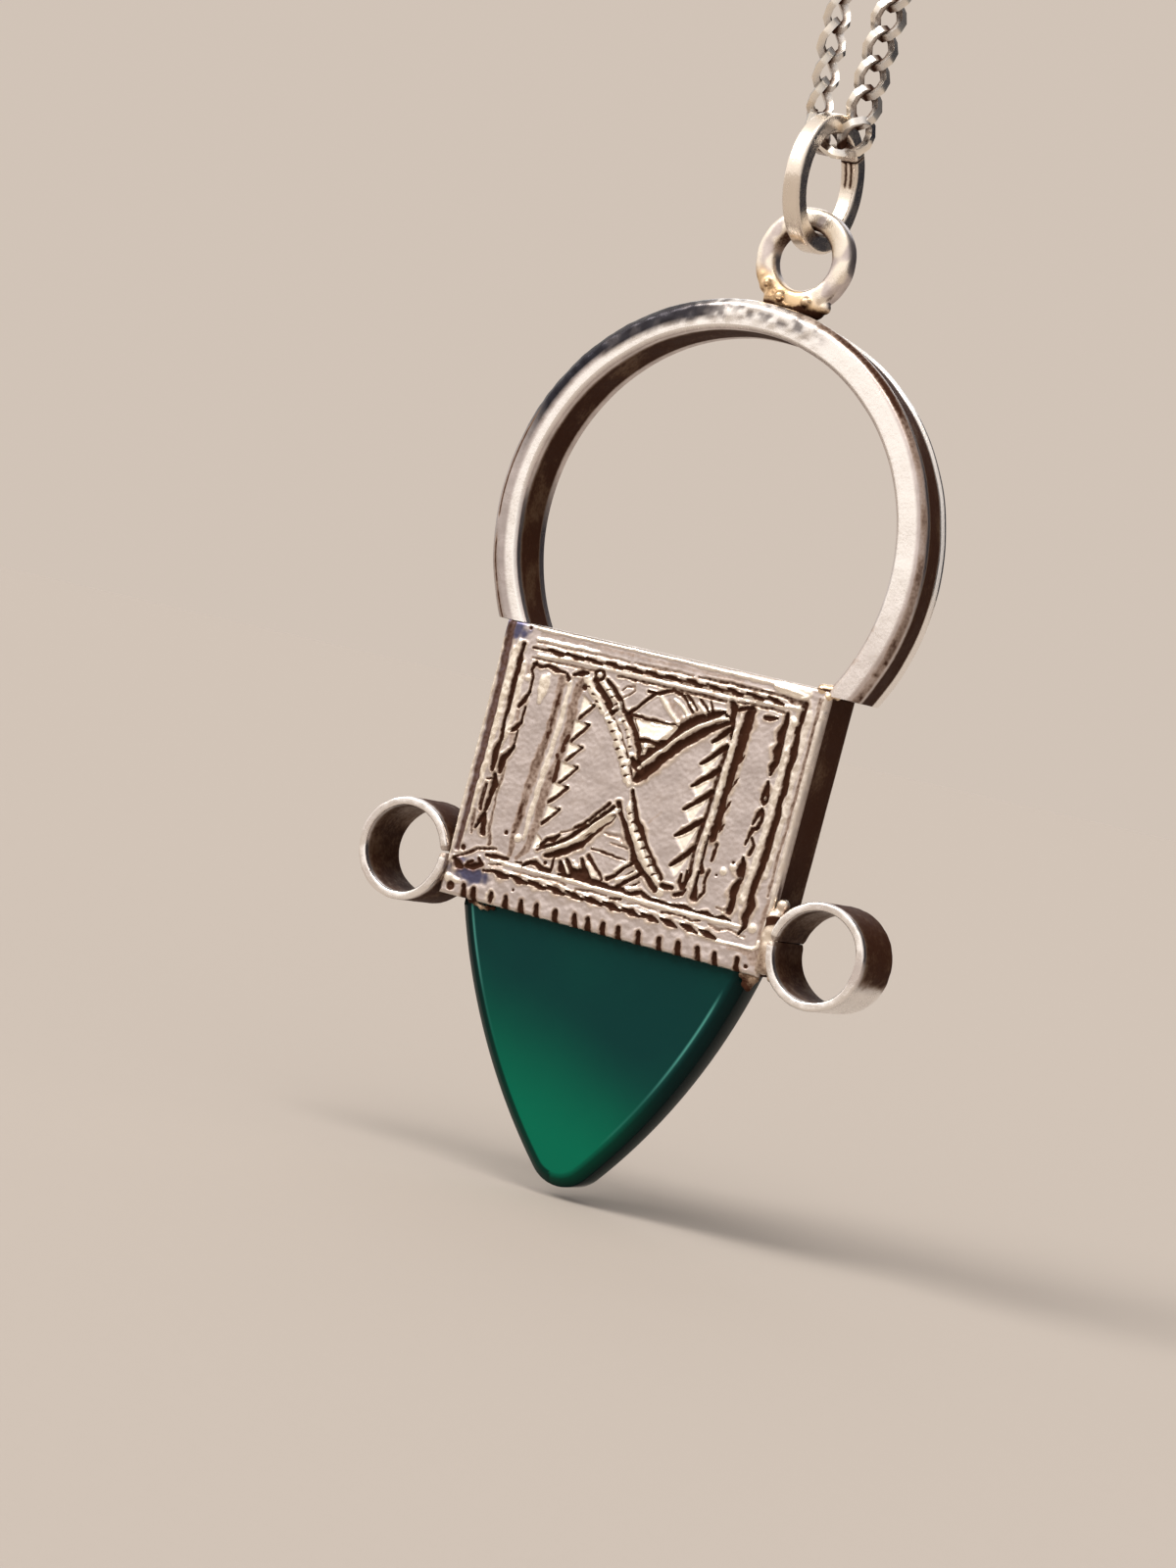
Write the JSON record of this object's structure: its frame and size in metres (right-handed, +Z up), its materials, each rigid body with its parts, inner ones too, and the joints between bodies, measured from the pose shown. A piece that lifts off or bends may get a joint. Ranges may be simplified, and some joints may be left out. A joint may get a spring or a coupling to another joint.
{
  "type": "silver cross pendant necklace",
  "caption": "Necklace with a silver cross pendant: a hoop over an engraved box that holds a tongue of green stone, with a tube at each side, on a fine curb chain.",
  "frame": {"origin": "the hang point: the inside of the top of the chain's loop, where a peg or hook carries it", "axes": "+X to the right of the engraved front, +Y from the front to the back, +Z up; the pendant hangs below the origin"},
  "size_m": [0.0269, 0.006, 0.2644],
  "materials": {
    "silver": "worn warm silver with dark tarnish in the engraving",
    "bright_silver": "bright polished silver",
    "green_stone": "polished translucent green agate"
  },
  "bodies": {
    "chain": {"chain": "bright_silver", "clasp": "bright_silver", "end_ring_upper": "bright_silver", "end_ring_lower": "bright_silver"},
    "jump_ring": {"jump_ring": "silver"},
    "cross": {"silver_cross": "silver", "stone": "green_stone"}
  },
  "joints": [
    {"name": "jump_ring_swing", "type": "hinge", "parent": "chain", "child": "jump_ring", "pos_m": [0, 0, -0.21705], "axis": [1, 0, 0], "range_deg": [-90, 90]},
    {"name": "cross_swing", "type": "hinge", "parent": "jump_ring", "child": "cross", "pos_m": [0, 0, -0.2212], "axis": [0, 1, 0], "range_deg": [-90, 90]}
  ]
}
